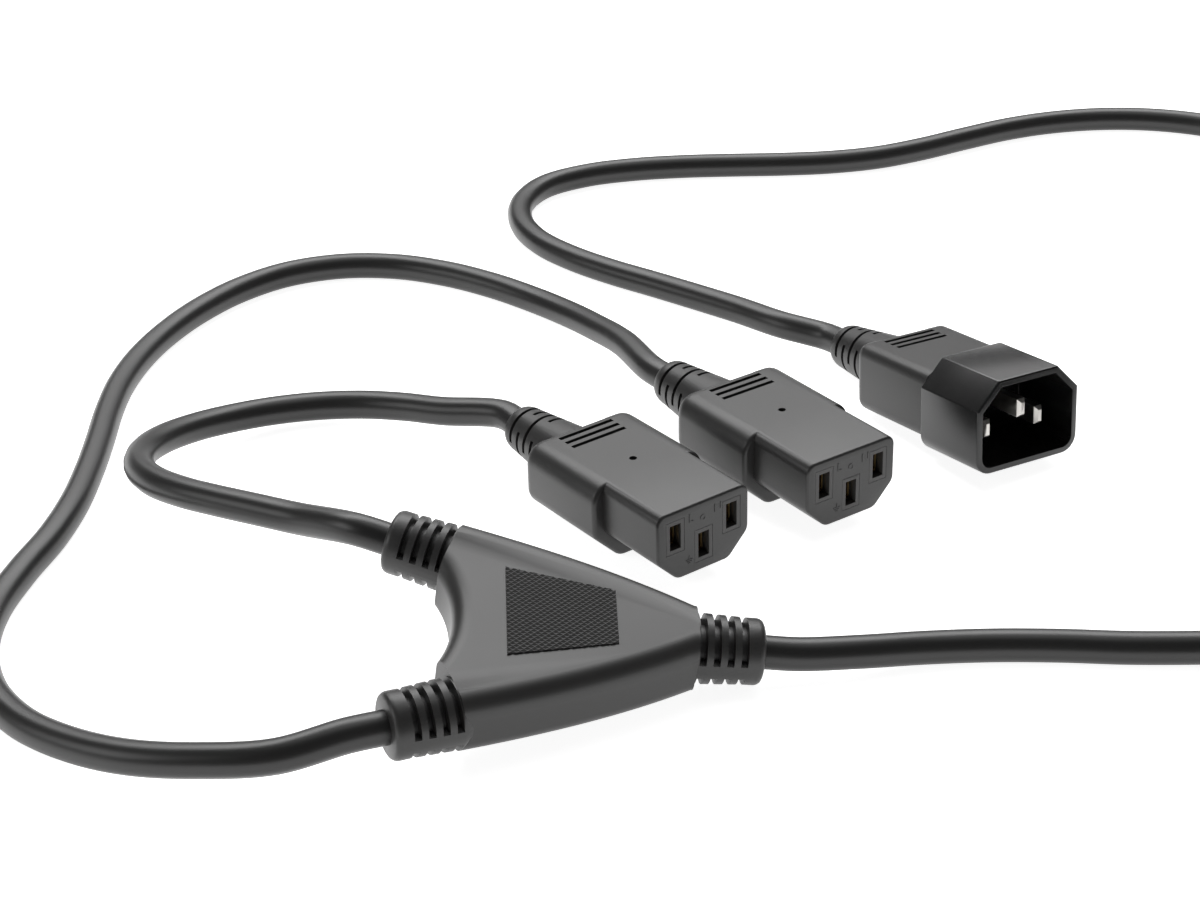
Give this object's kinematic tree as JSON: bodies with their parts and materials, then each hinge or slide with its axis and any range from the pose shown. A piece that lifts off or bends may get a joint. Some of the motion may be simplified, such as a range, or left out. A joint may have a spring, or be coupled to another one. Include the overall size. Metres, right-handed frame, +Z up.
{
  "type": "power cord splitter",
  "caption": "Black Y-shaped mains lead: one shrouded three-pin plug, a moulded junction with a diamond grip panel, and two branch cords, each with a three-slot socket.",
  "frame": {"origin": "on the surface, under the middle of the Y moulding's bounding box", "axes": "+X from the legs of the Y moulding to its trunk end, +Y away from the viewer, +Z up"},
  "size_m": [0.3324, 0.312, 0.026],
  "materials": {
    "overmould": "satin black PVC",
    "cord_sheath": "satin black PVC",
    "carrier": "satin black nylon",
    "gloss_housing": "glossy black",
    "nickel": "nickel plated",
    "contact_brass": "bare strip",
    "core_brown": "satin",
    "core_blue": "satin",
    "core_green": "satin",
    "tie": "matt black"
  },
  "bodies": {
    "root": {"y_moulding": "overmould", "y_line_crimp": "nickel", "y_neutral_crimp": "nickel", "y_earth_crimp": "nickel", "y_trunk_line_core": "core_brown", "y_trunk_neutral_core": "core_blue", "y_trunk_earth_core": "core_green", "y_front_line_core": "core_brown", "y_front_neutral_core": "core_blue", "y_front_earth_core": "core_green", "y_rear_line_core": "core_brown", "y_rear_neutral_core": "core_blue", "y_rear_earth_core": "core_green", "socket_a_body": "overmould", "socket_a_contact_carrier": "carrier", "socket_a_line_contact": "contact_brass", "socket_a_neutral_contact": "contact_brass", "socket_a_earth_contact": "contact_brass", "socket_a_line_core": "core_brown", "socket_a_neutral_core": "core_blue", "socket_a_earth_core": "core_green", "socket_b_body": "overmould", "socket_b_contact_carrier": "carrier", "socket_b_line_contact": "contact_brass", "socket_b_neutral_contact": "contact_brass", "socket_b_earth_contact": "contact_brass", "socket_b_line_core": "core_brown", "socket_b_neutral_core": "core_blue", "socket_b_earth_core": "core_green", "plug_shroud": "gloss_housing", "plug_line_pin": "nickel", "plug_neutral_pin": "nickel", "plug_earth_pin": "nickel", "plug_body": "overmould", "plug_line_core": "core_brown", "plug_neutral_core": "core_blue", "plug_earth_core": "core_green", "front_branch_cord": "cord_sheath", "rear_branch_cord": "cord_sheath", "trunk_cord_near": "cord_sheath", "trunk_cord_far": "cord_sheath", "trunk_coil": "cord_sheath", "coil_tie": "tie"}
  },
  "joints": []
}
